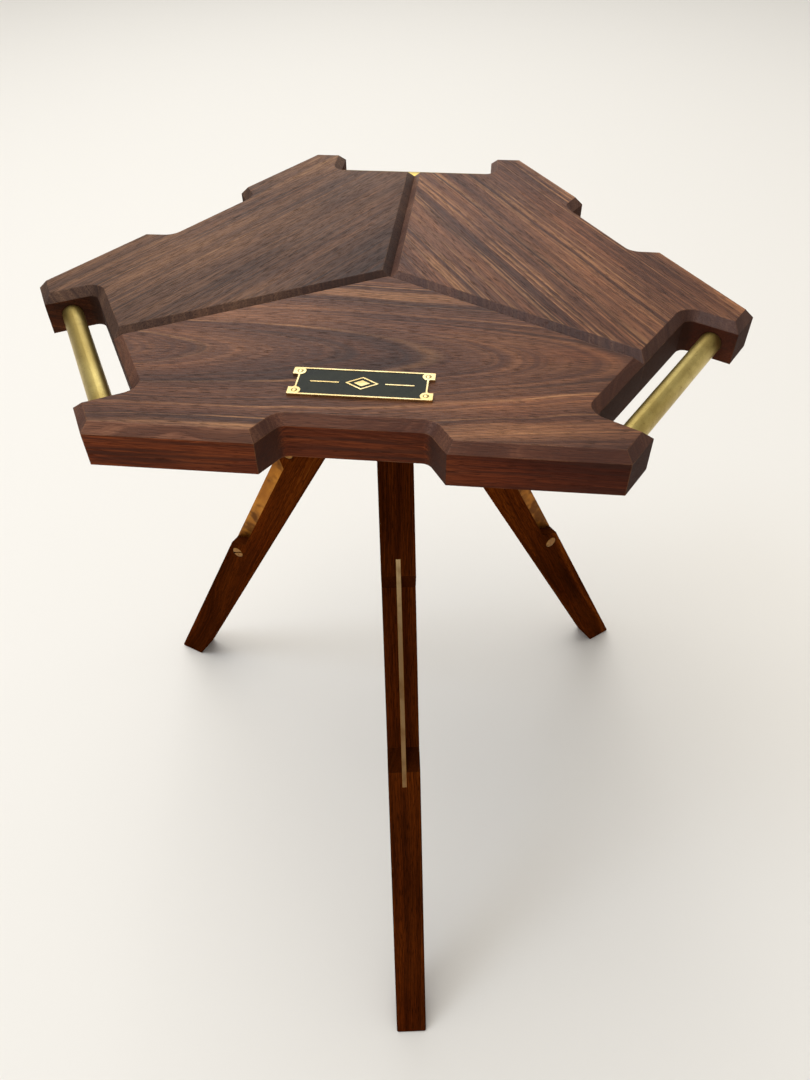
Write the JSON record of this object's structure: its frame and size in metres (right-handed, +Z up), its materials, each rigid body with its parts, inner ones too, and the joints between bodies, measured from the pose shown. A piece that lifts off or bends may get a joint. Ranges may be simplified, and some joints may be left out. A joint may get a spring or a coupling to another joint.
{
  "type": "folding side table",
  "caption": "Low side table: hexagon-like wooden top in wedge panels with brass grab rods at its corners, on a tripod of splayed legs that fold in round a central hub.",
  "frame": {"origin": "on the floor, at the middle of the footprint of the whole table with its legs spread", "axes": "+Z up; the front panel, which carries the nameplate, faces -Y; +X to the right seen from the front"},
  "size_m": [0.3944, 0.384, 0.4175],
  "materials": {
    "top_wood": "oiled walnut, satin, grain along each panel's long side",
    "leg_wood": "dark oiled walnut, satin, grain along the leg",
    "spline_wood": "plain birch ply, hidden in the seams",
    "rod_brass": "satin brass with fine turning marks",
    "bar_brass": "aged brass with darker patches",
    "fastener_brass": "satin brass",
    "plate_brass": "polished brass rim",
    "plate_enamel": "dark green-black satin enamel",
    "hub_brass": "cast brass, brushed",
    "washer_fibre": "dark fibre washer"
  },
  "bodies": {
    "tabletop": {"panel_front": "top_wood", "panel_right": "top_wood", "panel_left": "top_wood", "seam_spline_rear": "spline_wood", "handle_rod_rear": "rod_brass", "seam_spline_left": "spline_wood", "handle_rod_left": "rod_brass", "seam_spline_right": "spline_wood", "handle_rod_right": "rod_brass", "nameplate": "plate_brass", "nameplate_enamel": "plate_enamel", "nameplate_ornament": "plate_brass", "nameplate_pins": "plate_brass", "mount_plate": "hub_brass", "mount_plate_screws": "fastener_brass"},
    "hub": {"hub": "hub_brass", "hub_washer": "washer_fibre"},
    "leg_front": {"leg_front": "leg_wood", "leg_front_bar": "bar_brass", "leg_front_bar_sleeves": "fastener_brass", "leg_front_bar_screws": "fastener_brass", "leg_front_pivot_sleeve": "fastener_brass", "leg_front_pivot_screw": "fastener_brass"},
    "leg_right": {"leg_right": "leg_wood", "leg_right_bar": "bar_brass", "leg_right_bar_sleeves": "fastener_brass", "leg_right_bar_screws": "fastener_brass", "leg_right_pivot_sleeve": "fastener_brass", "leg_right_pivot_screw": "fastener_brass"},
    "leg_left": {"leg_left": "leg_wood", "leg_left_bar": "bar_brass", "leg_left_bar_sleeves": "fastener_brass", "leg_left_bar_screws": "fastener_brass", "leg_left_pivot_sleeve": "fastener_brass", "leg_left_pivot_screw": "fastener_brass"}
  },
  "joints": [
    {"name": "hub_swivel", "type": "hinge", "parent": "tabletop", "child": "hub", "pos_m": [0.01429, 0.03184, 0.394], "axis": [0, 0, 1], "continuous": true},
    {"name": "leg_front_fold", "type": "hinge", "parent": "hub", "child": "leg_front", "pos_m": [0.0173, 0.01004, 0.365], "axis": [0.9906, 0.1366, 0], "range_deg": [0, 28]},
    {"name": "leg_right_fold", "type": "hinge", "parent": "hub", "child": "leg_right", "pos_m": [0.03166, 0.04534, 0.365], "axis": [-0.6136, 0.7896, 0], "range_deg": [0, 28]},
    {"name": "leg_left_fold", "type": "hinge", "parent": "hub", "child": "leg_left", "pos_m": [-0.00609, 0.04013, 0.365], "axis": [-0.377, -0.9262, 0], "range_deg": [0, 28]}
  ]
}
